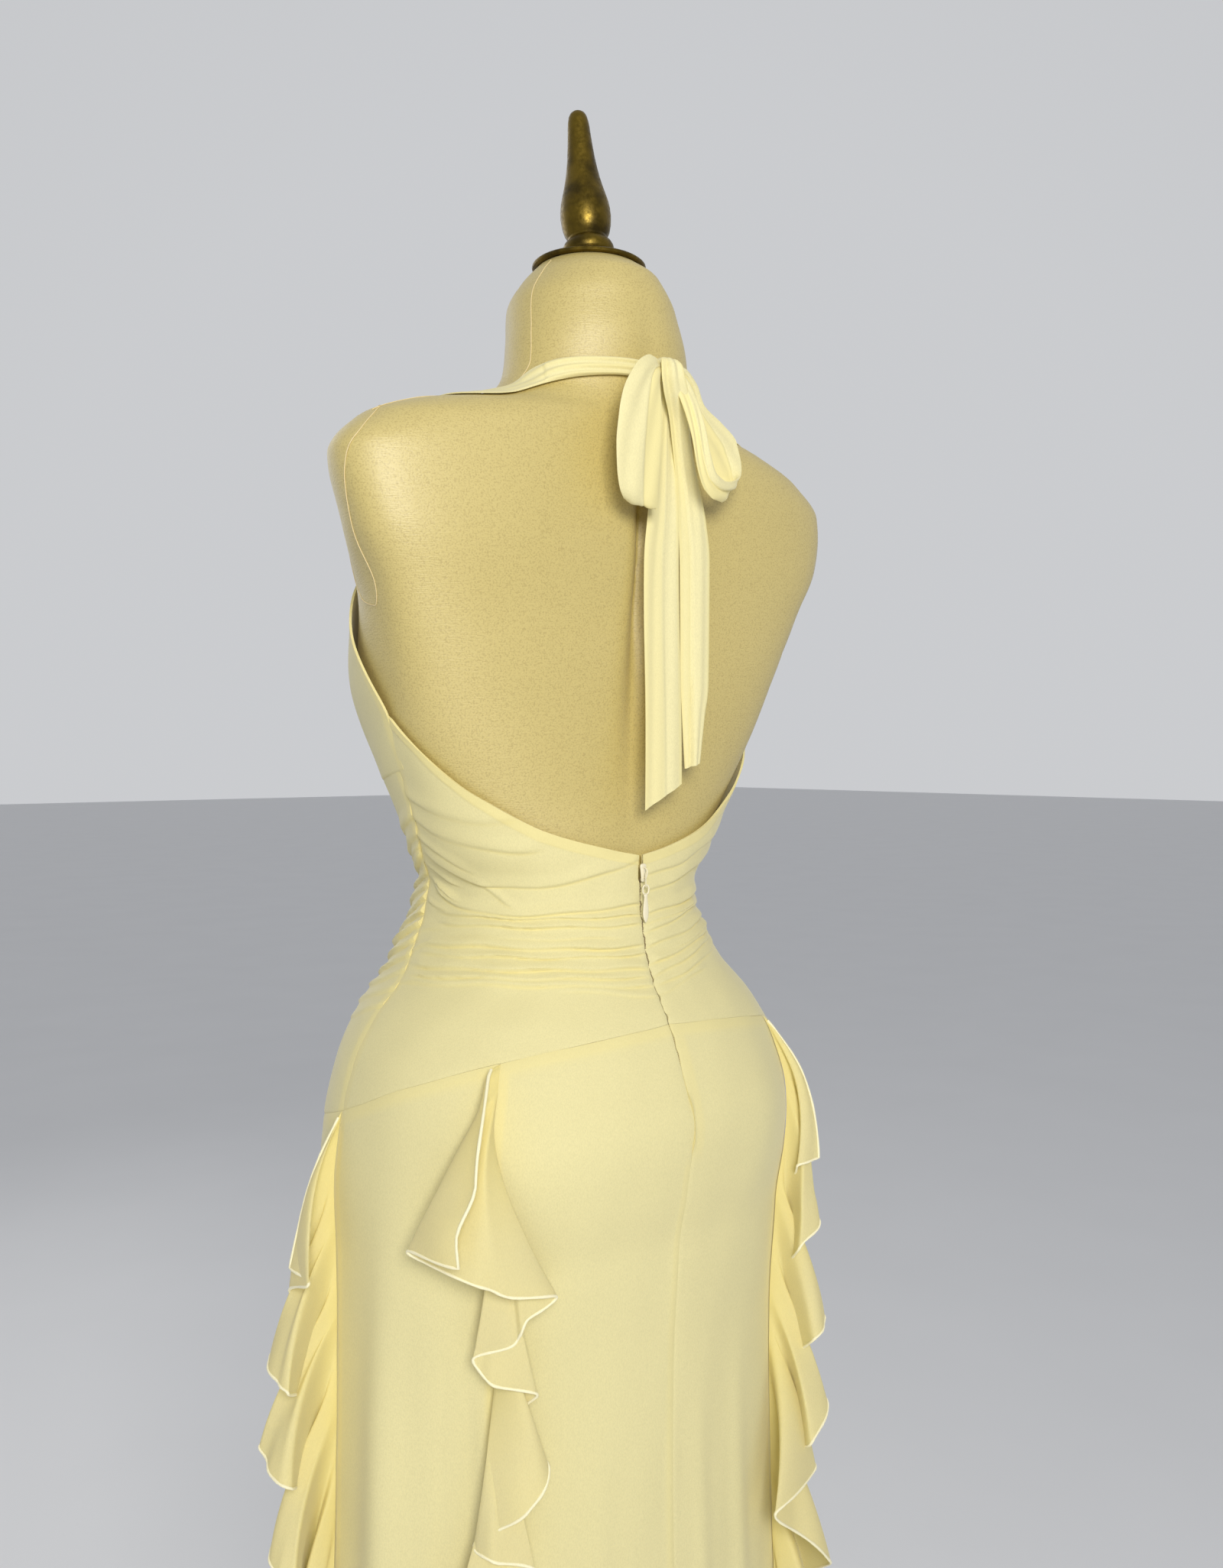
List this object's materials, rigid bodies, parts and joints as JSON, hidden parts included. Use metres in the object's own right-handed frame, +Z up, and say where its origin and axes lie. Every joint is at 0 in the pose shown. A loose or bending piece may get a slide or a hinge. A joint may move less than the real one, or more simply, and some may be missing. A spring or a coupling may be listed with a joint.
{
  "type": "ruffled maxi dress on a dress form",
  "caption": "Halter-neck maxi dress with ruched waist, mermaid skirt and waterfall ruffles down the seams, tied in a bow at the nape, on a limbless dress form with a stand.",
  "frame": {"origin": "centre of the stand base's flat underside, on the floor below the pole", "axes": "+Z up along the pole, -Y towards the figure's front, +X towards the figure's left side"},
  "size_m": [0.5676, 0.3946, 1.6043],
  "materials": {
    "dress_cloth": "sheer stretch mesh, soft sheen, pale butter yellow",
    "form_jersey": "fine knit jersey cover, champagne gold",
    "antique_gold": "antique gold paint, semi gloss",
    "stand_metal": "dark bronze paint, satin",
    "zip_plastic": "moulded nylon, ivory"
  },
  "bodies": {
    "dress_and_form": {"halter_cup_left": "dress_cloth", "halter_cup_right": "dress_cloth", "halter_band": "dress_cloth", "bow_knot": "dress_cloth", "bow_loop_left": "dress_cloth", "bow_loop_right": "dress_cloth", "bow_tail_left": "dress_cloth", "bow_tail_right": "dress_cloth", "waist_back_left": "dress_cloth", "waist_back_right": "dress_cloth", "waist_front": "dress_cloth", "skirt_back_left_centre": "dress_cloth", "skirt_back_left_side": "dress_cloth", "skirt_back_right_centre": "dress_cloth", "skirt_back_right_side": "dress_cloth", "skirt_front": "dress_cloth", "cascade_back_left": "dress_cloth", "cascade_back_right": "dress_cloth", "cascade_side_left": "dress_cloth", "cascade_side_right": "dress_cloth", "zip_chain": "zip_plastic", "zip_slider": "zip_plastic", "form_torso": "form_jersey", "neck_disc": "antique_gold", "neck_finial": "antique_gold", "stand_pole": "stand_metal", "stand_base": "stand_metal"},
    "zip_pull": {"zip_link": "zip_plastic", "zip_drop": "zip_plastic"}
  },
  "joints": [
    {"name": "zip_pull_swing", "type": "hinge", "parent": "dress_and_form", "child": "zip_pull", "pos_m": [0, 0.0917, 1.07], "axis": [1, 0, 0], "range_deg": [0, 140]}
  ]
}
